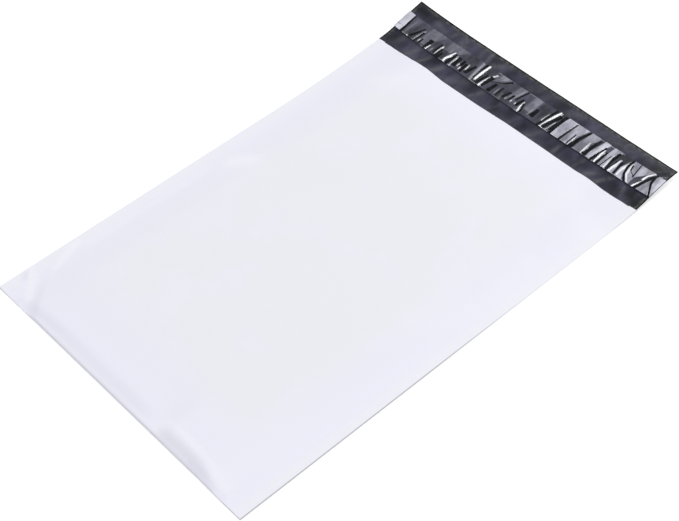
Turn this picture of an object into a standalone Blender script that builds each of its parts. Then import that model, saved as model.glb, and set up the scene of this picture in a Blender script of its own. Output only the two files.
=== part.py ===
"""A flat plastic mailing bag with a self-seal flap, lying on its back with the flap open.

One web of co-extruded film, white outside and charcoal inside, is folded across the bottom of the bag and
heat-sealed down both sides. The back panel runs on past the mouth as the flap. The flap carries a strip of
adhesive under a puckered release liner. Metres, +Z up: +X runs across the bag, +Y from the bottom fold to
the flap, and the origin is the middle of the bag body's underside.
"""

import math

import bmesh
import bpy
import numpy as np

# Film web
BAG_WIDTH = 0.1905
BAG_LENGTH = 0.2667
FLAP_LENGTH = 0.0330
FILM_THICKNESS = 0.00006
SEAL_WIDTH = 0.005

# Pocket between the two panels: its clear height, and how far from each edge it takes to reach it
FOLD_GAP = 0.0022
POCKET_HEIGHT = 0.0056
SIDE_RAMP = 0.030
FOLD_RAMP = 0.040

# Plump stretches of the bottom fold: the middle and half length as shares of the width, and the strength
PLUMP_FOLDS = ((0.17, 0.12, 0.5), (0.81, 0.16, 1.0))
PLUMP_RAMP = 0.013
PLUMP_SHARE = 0.72

# Pressed triangles at the two bottom corners: leg along the fold, leg up the side
LEFT_PRESS = (0.022, 0.024)
RIGHT_PRESS = (0.014, 0.020)
PRESS_BLEND = 0.6
PRESSED_SHARE = 0.05

# How far the front panel's cut edge stands back from the flap's root, as (share of the width, distance)
MOUTH_LINE = (
    (0.0, 0.0), (0.04, 0.0019), (0.08, 0.0026), (0.15, 0.0040), (0.215, 0.0033), (0.28, 0.0040), (0.415, 0.0038),
    (0.53, 0.0031), (0.66, 0.0033), (0.80, 0.0039), (0.885, 0.0025), (0.95, 0.0002), (1.0, 0.0),
)

# How far the panels lift off the floor at the mouth, and where that lift starts
LEFT_LIFT = 0.0036
RIGHT_LIFT = 0.0015
MIDDLE_LIFT = 0.0002
LIFT_FALLOFF = 6
LEFT_LIFT_START = 0.185
RIGHT_LIFT_START = 0.240

# Slope of the flap in degrees at its left side, middle and right side
FLAP_KNEE = 0.3
KNEE_SLOPES = (14.0, 21.0, 14.0)
END_SLOPES = (13.5, 8.0, 0.0)

# Release liner, set in from the flap's cut edge, and the adhesive under it
LAYER_CLEARANCE = 0.0003
LINER_MARGIN = 0.0095
LINER_WIDTH = 0.0134
LINER_THICKNESS = 0.00005
ADHESIVE_WIDTH = 0.0095
ADHESIVE_THICKNESS = 0.0001
LEFT_TAB = 0.0048
RIGHT_TAB = 0.0062
LINER_START = FLAP_LENGTH - LINER_MARGIN - LINER_WIDTH

# Puckers of the release liner: the crest's place at the liner's lower edge and where it runs out, as shares
# of the width, how far across the liner it reaches, and its height as a share of the tallest
PUCKERS = (
    (0.045, 0.050, 0.80, 0.25), (0.079, 0.090, 0.70, 0.40), (0.130, 0.136, 0.45, 0.45), (0.168, 0.174, 0.65, 0.52),
    (0.205, 0.220, 0.75, 0.58), (0.232, 0.235, 0.70, 0.40), (0.283, 0.285, 0.65, 0.40), (0.328, 0.339, 1.25, 0.72),
    (0.349, 0.378, 0.95, 0.80), (0.410, 0.414, 0.55, 0.35), (0.445, 0.449, 0.40, 0.30), (0.470, 0.472, 0.45, 0.40),
    (0.507, 0.508, 0.62, 0.50), (0.550, 0.552, 0.45, 0.36), (0.594, 0.618, 1.25, 0.92), (0.616, 0.630, 0.65, 0.45),
    (0.703, 0.708, 0.60, 0.42), (0.750, 0.754, 0.70, 0.56), (0.778, 0.793, 1.25, 0.36), (0.798, 0.802, 0.80, 0.62),
    (0.833, 0.836, 0.75, 0.50), (0.849, 0.860, 0.80, 0.55), (0.875, 0.886, 0.95, 0.50), (0.918, 0.893, 0.95, 0.70),
    (0.933, 0.965, 1.25, 1.00), (0.992, 0.972, 0.80, 0.60),
)
PUCKER_HEIGHT = 0.0010
PUCKER_STEEP_SIDE = 0.0011
PUCKER_LONG_SIDE = 0.0022
PUCKER_FADE = 0.25

# Mesh steps
POCKET_COLUMNS = 32
SEAL_COLUMNS = 2
BODY_ROWS = 24
ROW_GROWTH = 1.3
FLAP_ROWS = 9
FOLD_STEPS = 6
ADHESIVE_COLUMNS = 34
ADHESIVE_ROWS = 4
LINER_COLUMNS = 200
LINER_ROWS = 6

WHITE_FILM = ("white_film", (0.86, 0.86, 0.90, 1.0), 0.42)
CHARCOAL_FILM = ("charcoal_film", (0.055, 0.057, 0.072, 1.0), 0.30)
ADHESIVE = ("adhesive", (0.45, 0.43, 0.36, 1.0), 0.35)
LINER = ("liner", (0.30, 0.30, 0.33, 1.0), 0.12)


def smooth(t):
    """A smooth step from 0 to 1."""
    t = min(max(t, 0.0), 1.0)
    return t * t * (3.0 - 2.0 * t)


def across(u, values):
    """A value at u, from 0 at the left side to 1 at the right, through those at the left, middle and right."""
    left, middle, right = values
    return left * (2.0 * u - 1.0) * (u - 1.0) + middle * 4.0 * u * (1.0 - u) + right * u * (2.0 * u - 1.0)


def mouth_lift(u):
    """Height of the back panel's underside above the floor at the mouth."""
    return MIDDLE_LIFT + LEFT_LIFT * (1.0 - u) ** LIFT_FALLOFF + RIGHT_LIFT * u**LIFT_FALLOFF


def lift_start(u):
    return LEFT_LIFT_START + (RIGHT_LIFT_START - LEFT_LIFT_START) * u


def floor_height(x, y):
    """Height of the back panel's underside above the floor, at y from the bottom fold."""
    u = x / BAG_WIDTH
    t = max((y - lift_start(u)) / (BAG_LENGTH - lift_start(u)), 0.0)
    return mouth_lift(u) * t * t


def fullness(x):
    """0 at the side seals and 1 over the flat middle of the pocket."""
    inside = min(x, BAG_WIDTH - x) - SEAL_WIDTH
    return smooth(inside / SIDE_RAMP)


def corner_press(x, y):
    """Share of its height that the pocket keeps: little in the bottom corners' triangles, and 1 past them."""
    kept = 1.0
    for inset, (along_fold, up_side) in ((x, LEFT_PRESS), (BAG_WIDTH - x, RIGHT_PRESS)):
        past = smooth((inset / along_fold + y / up_side - 1.0) / PRESS_BLEND)
        kept *= PRESSED_SHARE + (1.0 - PRESSED_SHARE) * past
    return kept


def plumpness(x):
    """0 where the pocket rises slowly from the fold, and 1 where the fold is a plump roll."""
    u = x / BAG_WIDTH
    return max(strength * smooth(2.0 - 2.0 * abs(u - middle) / half) for middle, half, strength in PLUMP_FOLDS)


def pocket_gap(x, y):
    """Clear height between the two panels."""
    slow = smooth(y / FOLD_RAMP)
    quick = PLUMP_SHARE * smooth(y / PLUMP_RAMP) + (1.0 - PLUMP_SHARE) * slow
    rise = slow + (quick - slow) * plumpness(x)
    return fullness(x) * corner_press(x, y) * (FOLD_GAP + (POCKET_HEIGHT - FOLD_GAP) * rise)


def fold_radius(x):
    return FILM_THICKNESS + pocket_gap(x, 0.0) / 2.0


def mouth_setback(x):
    places, distances = zip(*MOUTH_LINE)
    return float(np.interp(x / BAG_WIDTH, places, distances))


def body_y(x, v, setback):
    """Distance from the bottom fold, for v from 0 at the fold to 1 at the mouth."""
    radius = fold_radius(x)
    return radius + v * (BAG_LENGTH - setback - radius)


def flap_slope(u, s):
    """Slope of the flap in radians, at s along the film from the mouth."""
    start = math.atan(2.0 * mouth_lift(u) / (BAG_LENGTH - lift_start(u)))
    knee = math.radians(across(u, KNEE_SLOPES))
    end = math.radians(across(u, END_SLOPES))
    knee_at = FLAP_KNEE * FLAP_LENGTH
    if s < knee_at:
        return start + (knee - start) * smooth(s / knee_at)
    return knee + (end - knee) * smooth((s - knee_at) / (FLAP_LENGTH - knee_at))


def flap_point(x, s, offset):
    """Point at s along the flap and at offset above the film's underside."""
    u = x / BAG_WIDTH
    steps = 60
    y = BAG_LENGTH
    z = floor_height(x, BAG_LENGTH)
    for k in range(steps):
        slope = flap_slope(u, s * (k + 0.5) / steps)
        y += s / steps * math.cos(slope)
        z += s / steps * math.sin(slope)
    slope = flap_slope(u, s)
    return (x, y - offset * math.sin(slope), z + offset * math.cos(slope))


def material(name, colour, roughness):
    made = bpy.data.materials.new(name)
    made.use_nodes = True
    shader = made.node_tree.nodes["Principled BSDF"]
    shader.inputs["Base Color"].default_value = colour
    shader.inputs["Roughness"].default_value = roughness
    shader.inputs["Metallic"].default_value = 0.0
    made.diffuse_color = colour
    return made


class Shell:
    """Collects points and faces of one closed solid, in the bag's own frame."""

    def __init__(self):
        self.mesh = bmesh.new()

    def point(self, co):
        x, y, z = co
        return self.mesh.verts.new((x - BAG_WIDTH / 2.0, y - BAG_LENGTH / 2.0, z))

    def face(self, corners, slot=0):
        """One face, unless points that fall together leave it fewer than three corners."""
        kept = [c for k, c in enumerate(corners) if c is not corners[k - 1]]
        if len(kept) > 2:
            self.mesh.faces.new(kept).material_index = slot

    def sheet(self, grid, upwards, slot=0):
        """Triangles over a grid of points, all cut along the same diagonal."""
        for left, right in zip(grid, grid[1:]):
            for k in range(len(left) - 1):
                a, b, c, d = left[k], right[k], right[k + 1], left[k + 1]
                for corners in ((a, b, c), (a, c, d)):
                    self.face(corners if upwards else corners[::-1], slot)

    def finish(self, name, materials):
        bmesh.ops.triangulate(self.mesh, faces=[f for f in self.mesh.faces if len(f.verts) > 3])
        bmesh.ops.recalc_face_normals(self.mesh, faces=self.mesh.faces)
        data = bpy.data.meshes.new(name)
        self.mesh.to_mesh(data)
        self.mesh.free()
        data.shade_smooth()
        data.set_sharp_from_angle(angle=math.radians(40.0))
        for used in materials:
            data.materials.append(material(*used))
        made = bpy.data.objects.new(name, data)
        bpy.context.scene.collection.objects.link(made)
        return made


def column_places():
    """The film's columns: both seals, and the pocket between them."""
    left = np.linspace(0.0, SEAL_WIDTH, SEAL_COLUMNS + 1)
    pocket = np.linspace(SEAL_WIDTH, BAG_WIDTH - SEAL_WIDTH, POCKET_COLUMNS + 1)
    right = np.linspace(BAG_WIDTH - SEAL_WIDTH, BAG_WIDTH, SEAL_COLUMNS + 1)
    return [float(x) for x in (*left[:-1], *pocket, *right[1:])]


def make_bag_film():
    shell = Shell()
    columns = column_places()
    first = SEAL_COLUMNS
    last = SEAL_COLUMNS + POCKET_COLUMNS
    rows = [(k / BODY_ROWS) ** ROW_GROWTH for k in range(BODY_ROWS + 1)]
    flap_rows = [FLAP_LENGTH * k / FLAP_ROWS for k in range(1, FLAP_ROWS + 1)]
    turns = [math.pi * k / FOLD_STEPS for k in range(1, FOLD_STEPS)]

    outer = []
    back_inner = []
    front_inner = []
    for i, x in enumerate(columns):
        radius = fold_radius(x)
        base = floor_height(x, 0.0)
        back = [(x, body_y(x, v, 0.0)) for v in rows]
        front = [(x, body_y(x, v, mouth_setback(x))) for v in rows]

        underside = [(x, y, floor_height(x, y)) for _, y in back]
        flap_under = [flap_point(x, s, 0.0) for s in flap_rows]
        fold = [(x, radius - radius * math.sin(t), base + radius - radius * math.cos(t)) for t in turns]
        top = [(x, y, floor_height(x, y) + pocket_gap(x, y) + 2.0 * FILM_THICKNESS) for _, y in front]
        outer.append([shell.point(p) for p in flap_under[::-1] + underside[::-1] + fold + top])

        inside = [(x, y, z + FILM_THICKNESS) for x, y, z in underside]
        flap_top = [flap_point(x, s, FILM_THICKNESS) for s in flap_rows]
        if first <= i <= last:
            points = [shell.point(p) for p in inside]
            back_inner.append(points + [shell.point(p) for p in flap_top])
        else:
            back_inner.append([None] * BODY_ROWS + [shell.point(inside[-1])] + [shell.point(p) for p in flap_top])
        if first < i < last:
            inner_radius = radius - FILM_THICKNESS
            turn = [
                (x, radius - inner_radius * math.sin(t), base + radius - inner_radius * math.cos(t)) for t in turns
            ]
            under_front = [(x, y, z - FILM_THICKNESS) for x, y, z in top]
            front_inner.append([back_inner[i][0]] + [shell.point(p) for p in turn + under_front])
        elif i in (first, last):
            seam = back_inner[i]
            front_inner.append([seam[0]] * (FOLD_STEPS) + seam[: BODY_ROWS + 1])

    shell.sheet(outer, upwards=False)
    shell.sheet([line[BODY_ROWS:] for line in back_inner], upwards=True, slot=1)
    shell.sheet([line[: BODY_ROWS + 1] for line in back_inner[first : last + 1]], upwards=True, slot=1)
    shell.sheet(front_inner, upwards=True, slot=1)

    mouth = FLAP_ROWS
    for i in range(len(columns) - 1):
        rim = []
        for k in (i, i + 1):
            if first <= k <= last:
                rim.append(front_inner[k - first][-1])
            else:
                rim.append(back_inner[k][BODY_ROWS])
        shell.face((outer[i][-1], outer[i + 1][-1], rim[1], rim[0]))
        shell.face((outer[i][0], outer[i + 1][0], back_inner[i + 1][-1], back_inner[i][-1]))
    for line, inner in ((outer[0], back_inner[0]), (outer[-1], back_inner[-1])):
        for k in range(FLAP_ROWS):
            shell.face((line[k], line[k + 1], inner[BODY_ROWS + FLAP_ROWS - k - 1], inner[BODY_ROWS + FLAP_ROWS - k]))
        under = line[mouth : mouth + BODY_ROWS + 1]
        over = line[-1 : -BODY_ROWS - 2 : -1]
        shell.face((under[0], under[1], over[1], over[0], inner[BODY_ROWS]))
        for k in range(1, BODY_ROWS):
            shell.face((under[k], under[k + 1], over[k + 1], over[k]))
        shell.face(line[mouth + BODY_ROWS : mouth + BODY_ROWS + FOLD_STEPS + 1])
    return shell.finish("bag_film", (WHITE_FILM, CHARCOAL_FILM))


def make_strip(name, used, left, right, start, width, offset, thickness, columns, rows, height):
    """A closed strip that follows the flap, raised by height(x, share of its width)."""
    shell = Shell()
    lower = []
    upper = []
    for x in np.linspace(left, right, columns + 1):
        x = float(x)
        places = [(start + width * k / rows, height(x, k / rows)) for k in range(rows + 1)]
        lower.append([shell.point(flap_point(x, s, offset + rise)) for s, rise in places])
        upper.append([shell.point(flap_point(x, s, offset + rise + thickness)) for s, rise in places])
    shell.sheet(upper, upwards=True)
    shell.sheet(lower, upwards=False)
    for k in range(rows):
        for end in (0, -1):
            shell.face((lower[end][k], lower[end][k + 1], upper[end][k + 1], upper[end][k]))
    for k in range(columns):
        for side in (0, -1):
            shell.face((lower[k][side], lower[k + 1][side], upper[k + 1][side], upper[k][side]))
    return shell.finish(name, (used,))


def pucker_rise(x, share):
    """Height of the liner over its flat lie: the tallest pucker there, each one steep on its left side."""
    tallest = 0.0
    for low, high, reach, height in PUCKERS:
        away = x - BAG_WIDTH * (low + (high - low) * min(share / reach, 1.0))
        side = away / PUCKER_LONG_SIDE if away > 0.0 else -away / PUCKER_STEEP_SIDE
        fade = smooth((reach - share) / PUCKER_FADE)
        tallest = max(tallest, PUCKER_HEIGHT * height * fade * (1.0 - side))
    return tallest


def make_release_liner():
    offset = FILM_THICKNESS + 2.0 * LAYER_CLEARANCE + ADHESIVE_THICKNESS
    return make_strip(
        "release_liner", LINER, 0.0, BAG_WIDTH, LINER_START, LINER_WIDTH, offset,
        LINER_THICKNESS, LINER_COLUMNS, LINER_ROWS, pucker_rise,
    )


def make_adhesive_strip():
    offset = FILM_THICKNESS + LAYER_CLEARANCE
    return make_strip(
        "adhesive_strip", ADHESIVE, LEFT_TAB, BAG_WIDTH - RIGHT_TAB, LINER_START, ADHESIVE_WIDTH, offset,
        ADHESIVE_THICKNESS, ADHESIVE_COLUMNS, ADHESIVE_ROWS, lambda x, share: 0.0,
    )


def main():
    for old in list(bpy.data.objects):
        bpy.data.objects.remove(old, do_unlink=True)
    make_bag_film()
    make_adhesive_strip()
    make_release_liner()


main()
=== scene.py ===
"""Looks of a flat plastic mailing bag that lies open on a white floor, seen from its lower right corner."""

import math
import random

import bpy
import numpy as np
from mathutils import Matrix, Vector


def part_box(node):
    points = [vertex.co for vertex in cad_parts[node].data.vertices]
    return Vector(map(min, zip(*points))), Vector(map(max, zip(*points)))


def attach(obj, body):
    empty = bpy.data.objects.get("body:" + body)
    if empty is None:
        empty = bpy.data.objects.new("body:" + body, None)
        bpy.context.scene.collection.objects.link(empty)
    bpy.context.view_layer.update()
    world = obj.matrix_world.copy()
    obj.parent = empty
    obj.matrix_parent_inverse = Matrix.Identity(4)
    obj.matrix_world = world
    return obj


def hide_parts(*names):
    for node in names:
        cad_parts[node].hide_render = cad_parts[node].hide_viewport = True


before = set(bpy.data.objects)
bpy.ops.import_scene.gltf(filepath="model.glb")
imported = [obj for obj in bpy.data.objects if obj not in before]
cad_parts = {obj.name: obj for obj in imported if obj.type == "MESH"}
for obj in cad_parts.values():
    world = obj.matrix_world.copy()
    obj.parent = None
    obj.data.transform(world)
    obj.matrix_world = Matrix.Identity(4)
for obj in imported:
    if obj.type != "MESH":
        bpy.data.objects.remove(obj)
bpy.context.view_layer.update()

MM = 0.001

# The bag's own sizes, in metres. x runs from the left side seal, y from the bottom fold, s along the flap.
FILM_LOW, FILM_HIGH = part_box("bag_film")
BAG_WIDTH = FILM_HIGH[0] - FILM_LOW[0]
BAG_LENGTH = -2.0 * FILM_LOW[1]
FLAP_LENGTH = 33.0 * MM
FILM = 0.06 * MM
SEAL_WIDTH = 5.0 * MM
FOLD_GAP = 2.2 * MM
POCKET_HEIGHT = 5.6 * MM
LEAST_GAP = 0.04 * MM
SIDE_RAMP = 30.0 * MM
FOLD_RAMP = 40.0 * MM
PLUMP_RAMP, PLUMP_SHARE = 8.5 * MM, 0.75

# How far the mouth lifts off the floor at the left, in the middle and at the right, and where that lift starts
LEFT_LIFT, MIDDLE_LIFT, RIGHT_LIFT = 3.6 * MM, 0.2 * MM, 1.5 * MM
LIFT_FALLOFF = 6
LEFT_LIFT_START, RIGHT_LIFT_START = 185.0 * MM, 240.0 * MM

# The flap's knee as a share of its length, and its slopes there and at its end in degrees: left, middle, right
FLAP_KNEE = 0.3
KNEE_SLOPES = (14.0, 21.0, 14.0)
END_SLOPES = (13.5, 8.0, 0.0)

# The strips on the flap, and the clearance that stands for each bond
LAYER_CLEARANCE = 0.3 * MM
LINER_MARGIN, LINER_WIDTH, LINER_THICKNESS = 9.5 * MM, 13.4 * MM, 0.05 * MM
LINER_START = FLAP_LENGTH - LINER_MARGIN - LINER_WIDTH
ADHESIVE_WIDTH, ADHESIVE_THICKNESS = 9.5 * MM, 0.1 * MM
LEFT_TAB, RIGHT_TAB = 4.8 * MM, 6.2 * MM

# The triangles pressed flat at the bottom corners: reach along the fold, reach along the seal, softness
LEFT_PRESS = (22.0 * MM, 24.0 * MM, 0.55)
RIGHT_PRESS = (14.0 * MM, 20.0 * MM, 0.70)

# The plump rolls along the bottom fold: start, length of the rise, end, length of the fall, plumpness
ROLLS = (
    (8.0 * MM, 22.0 * MM, 123.0 * MM, 14.0 * MM, 0.5),
    (124.0 * MM, 11.0 * MM, 184.0 * MM, 26.0 * MM, 1.0),
)

# Where the rolls narrow towards the right: start, length, share of their width that is lost
NARROWINGS = ((123.0 * MM, 8.0 * MM, 0.18), (148.0 * MM, 28.0 * MM, 0.32))

# The film's low waves: seed, longest wave, number of waves, height
FRONT_WAVES = ((3, 90.0 * MM, 7, 0.16 * MM), (8, 34.0 * MM, 9, 0.04 * MM))
FLAP_WAVES = ((21, 36.0 * MM, 8, 0.10 * MM), (22, 11.0 * MM, 9, 0.022 * MM))
SHORTEST_WAVE = 0.35

# The waves have their full height from here on, from the seals, the fold and the mouth
SEAL_TO_WAVES, FOLD_TO_WAVES, MOUTH_TO_WAVES = 12.0 * MM, 16.0 * MM, 4.0 * MM

# The front panel's relief starts over this distance from the seals, and this share of its length from the fold
RELIEF_RAMP, RELIEF_START = 2.0 * MM, 0.02

# A crease tapers over this share of its length, down to this share of its height
CREASE_TAPER, CREASE_END = 0.2, 0.2

# Camera: the photograph's frame in pixels, and the view fitted to the bag's flat corners in it
PHOTO_WIDTH = 679
FOCAL_PIXELS = 1565.56
SENSOR_MM = 36.0
CAMERA_AZIMUTH, CAMERA_ELEVATION, CAMERA_ROLL = 50.28, 48.36, -3.57
CAMERA_TARGET = (12.45 * MM, 1.91 * MM, 0.0)
CAMERA_DISTANCE = 793.46 * MM

# A painted shadow line along the right seal's outer edge is dark up to here, in metres from the bottom fold
SHADOW_LINE_END = 205.0 * MM
SHADOW_LINE_FADE = 90.0 * MM
SHADOW_LINE_STRENGTH = 0.46

# How dark the painted shadow line along the bottom fold is, strongest where the film is pressed flat: (share
# of the width, strength)
FOLD_SHADOW = (
    (0.0, 0.65), (0.045, 0.30), (0.10, 0.10), (0.14, 0.0),
    (0.86, 0.0), (0.90, 0.10), (0.94, 0.45), (1.0, 0.50),
)

# Width of the dark line, and where it has faded: along the front panel's edges, and along the flap's
EDGE_LINE = 0.35 * MM
EDGE_FADE = 0.60 * MM
BORDER_LINE = 0.75 * MM
BORDER_FADE = 0.93 * MM

# The dull strip inside the flap's cut edges, and the seals' fade towards the pocket
DULL_EDGE, DULL_FADE = 1.2 * MM, 1.6 * MM
SEAL_FADE = 1.6 * MM

# The front panel's neutral middle starts this far from its sides, the fold and the mouth, with these fades
MIDDLE_FROM_SIDE, MIDDLE_FROM_FOLD, MIDDLE_FROM_MOUTH = 14.0 * MM, 16.0 * MM, 10.0 * MM
MIDDLE_SIDE_FADE, MIDDLE_END_FADE = 30.0 * MM, 36.0 * MM

# Mesh steps, and the angle in degrees past which an edge is sharp
FILM_COLUMNS = 176
BODY_ROWS = 100
ROW_GROWTH = 1.35
FLAP_ROWS = 44
FOLD_STEPS = 8
LINER_COLUMNS = 900
LINER_ROWS = 50
ADHESIVE_COLUMNS = 180
ADHESIVE_ROWS = 10
FLAP_STEPS = 60
SHARP_ANGLE = 60.0

# How far the front panel's cut edge stands back from the flap's root, as (share of the width, distance in mm)
MOUTH_LINE = (
    (0.0, 2.1), (0.025, 1.5), (0.05, 1.2), (0.08, 1.8), (0.15, 3.4), (0.215, 3.0), (0.28, 4.0), (0.415, 3.8),
    (0.53, 3.1), (0.66, 3.3), (0.80, 3.9), (0.885, 2.5), (0.95, 0.2), (1.0, 0.0),
)

# Creases of the front panel, in mm: start, end, height, width. Negative ones are valleys.
BODY_CREASES = (
    ((19.5, 7.0), (5.5, 18.0), 0.24, 1.8),
    ((24.0, 10.0), (7.0, 29.0), 0.12, 2.2),
    ((3.0, 46.0), (10.0, 28.0), 0.16, 2.0),
    ((13.0, 137.0), (20.0, 161.0), 0.34, 1.3),
    ((20.0, 161.0), (29.0, 153.0), 0.32, 1.2),
    ((20.0, 137.0), (29.0, 153.0), -0.26, 1.4),
    ((126.0, 1.5), (129.5, 9.0), 0.18, 1.6),
    ((133.0, 8.0), (172.0, 7.5), 0.25, 2.0),
    ((183.5, 20.0), (180.5, 75.0), -0.35, 2.4),
    ((180.5, 75.0), (184.0, 102.0), -0.20, 2.4),
)

# Painted highlights and lighter patches on the white film, in mm: start, end, half width, strength
BODY_MARKS = (
    ((2.0, 19.6), (17.9, 7.2), 1.7, 1.00),
    ((3.5, 46.5), (10.2, 28.0), 2.2, 0.80),
    ((6.0, 19.5), (12.0, 15.5), 0.9, 0.60),
    ((134.0, 10.0), (174.0, 6.5), 1.8, 0.45),
    ((17.5, 141.5), (25.0, 148.5), 6.0, 1.00),
    ((26.0, 238.0), (42.0, 252.0), 8.0, 0.35),
    ((52.0, 257.0), (139.0, 259.0), 5.0, 0.55),
    ((160.0, 254.0), (180.0, 240.0), 8.0, 0.40),
    ((166.0, 134.0), (177.0, 158.0), 8.0, 0.30),
    ((179.0, 172.0), (176.0, 200.0), 7.0, 0.30),
    ((126.5, 2.5), (130.0, 10.0), 1.6, 0.50),
    ((9.0, 50.0), (10.0, 128.0), 2.5, 0.35),
)

# Places where it is shaded, along the roll beside the bottom fold and in the left corner
BODY_SHADES = (
    ((15.0, 2.6), (48.0, 5.4), 2.6, 0.38),
    ((48.0, 6.0), (118.0, 6.0), 3.2, 0.20),
    ((2.2, 15.9), (5.0, 13.0), 1.5, 0.60),
    ((131.0, 2.0), (152.0, 2.0), 1.8, 0.15),
    ((152.0, 2.0), (177.0, 1.0), 1.8, 0.40),
)

# Painted highlights on the flap's charcoal film, along the bag and from the mouth
FLAP_MARKS = (
    ((18.0, 28.0), (26.0, 25.5), 1.8, 0.50),
    ((31.0, 25.0), (34.0, 31.0), 1.6, 0.60),
    ((8.0, 2.0), (10.0, 8.5), 1.6, 0.60),
    ((19.3, 0.5), (21.3, 7.5), 2.0, 1.00),
    ((28.5, 1.5), (31.5, 8.5), 1.4, 0.70),
    ((44.2, 17.0), (39.7, 29.5), 2.6, 1.00),
    ((38.7, 1.9), (42.6, 7.6), 1.5, 1.00),
    ((54.9, 23.5), (54.4, 32.0), 1.6, 0.60),
    ((60.4, 23.5), (59.8, 31.5), 1.2, 1.00),
    ((51.0, 3.0), (60.0, 8.5), 2.4, 0.55),
    ((66.0, 25.0), (74.0, 31.0), 2.4, 0.65),
    ((68.8, 2.5), (72.9, 9.5), 1.5, 0.70),
    ((82.3, 1.5), (86.5, 8.7), 1.3, 0.60),
    ((92.0, 25.0), (99.0, 30.5), 2.2, 0.50),
    ((97.0, 1.5), (101.0, 8.5), 1.4, 0.35),
    ((103.0, 24.5), (108.5, 31.5), 2.0, 0.55),
    ((112.0, 2.0), (117.0, 9.0), 1.8, 0.65),
    ((121.3, 26.5), (130.0, 30.4), 2.6, 0.50),
    ((130.3, 2.0), (131.3, 9.5), 1.4, 0.70),
    ((142.0, 25.5), (162.0, 28.5), 3.0, 0.40),
    ((145.2, 1.5), (147.4, 8.5), 1.2, 0.65),
    ((153.6, 1.8), (158.2, 6.5), 1.4, 0.80),
    ((161.7, 1.5), (167.2, 9.2), 1.5, 0.90),
    ((171.0, 30.5), (181.0, 29.5), 2.2, 0.40),
    ((177.4, 3.5), (175.7, 8.0), 1.1, 1.00),
    ((183.6, 2.0), (184.6, 8.7), 1.4, 0.70),
    ((182.0, 25.2), (189.0, 29.4), 1.2, 1.00),
    ((183.0, 29.6), (188.0, 26.0), 1.1, 0.90),
)

# Painted shade on the flap's charcoal film, in its corners and folds
FLAP_SHADES = (
    ((1.5, 29.5), (9.0, 28.5), 4.5, 0.95),
    ((11.0, 27.0), (15.0, 30.0), 3.5, 0.60),
    ((1.0, 1.0), (5.0, 4.0), 3.5, 0.65),
    ((188.5, 1.5), (181.0, 6.0), 4.0, 0.90),
    ((172.0, 5.0), (175.0, 2.0), 3.0, 0.55),
    ((180.5, 27.0), (188.5, 28.0), 3.6, 0.85),
    ((86.0, 4.0), (93.0, 6.0), 4.0, 0.50),
    ((108.0, 27.0), (115.0, 29.0), 3.5, 0.50),
    ((140.0, 5.0), (143.0, 2.0), 3.0, 0.45),
    ((62.0, 3.0), (66.0, 8.0), 3.0, 0.40),
)

# Creases of the flap's film, in mm along the bag and from the mouth: start, end, height, width
FLAP_CREASES = (
    ((59.0, 22.0), (61.5, 31.0), 0.22, 1.0),
    ((163.0, 24.0), (168.0, 32.0), 0.22, 1.2),
    ((22.0, 0.5), (27.0, 9.0), -0.20, 2.2),
    ((45.0, 1.0), (47.0, 9.0), -0.15, 2.5),
    ((181.0, 23.0), (187.0, 29.0), 0.25, 1.2),
    ((184.0, 22.5), (189.5, 27.0), -0.22, 1.2),
    ((172.0, 1.5), (176.0, 9.0), 0.25, 1.0),
    ((177.0, 1.0), (179.0, 9.5), -0.25, 1.4),
)

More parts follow.
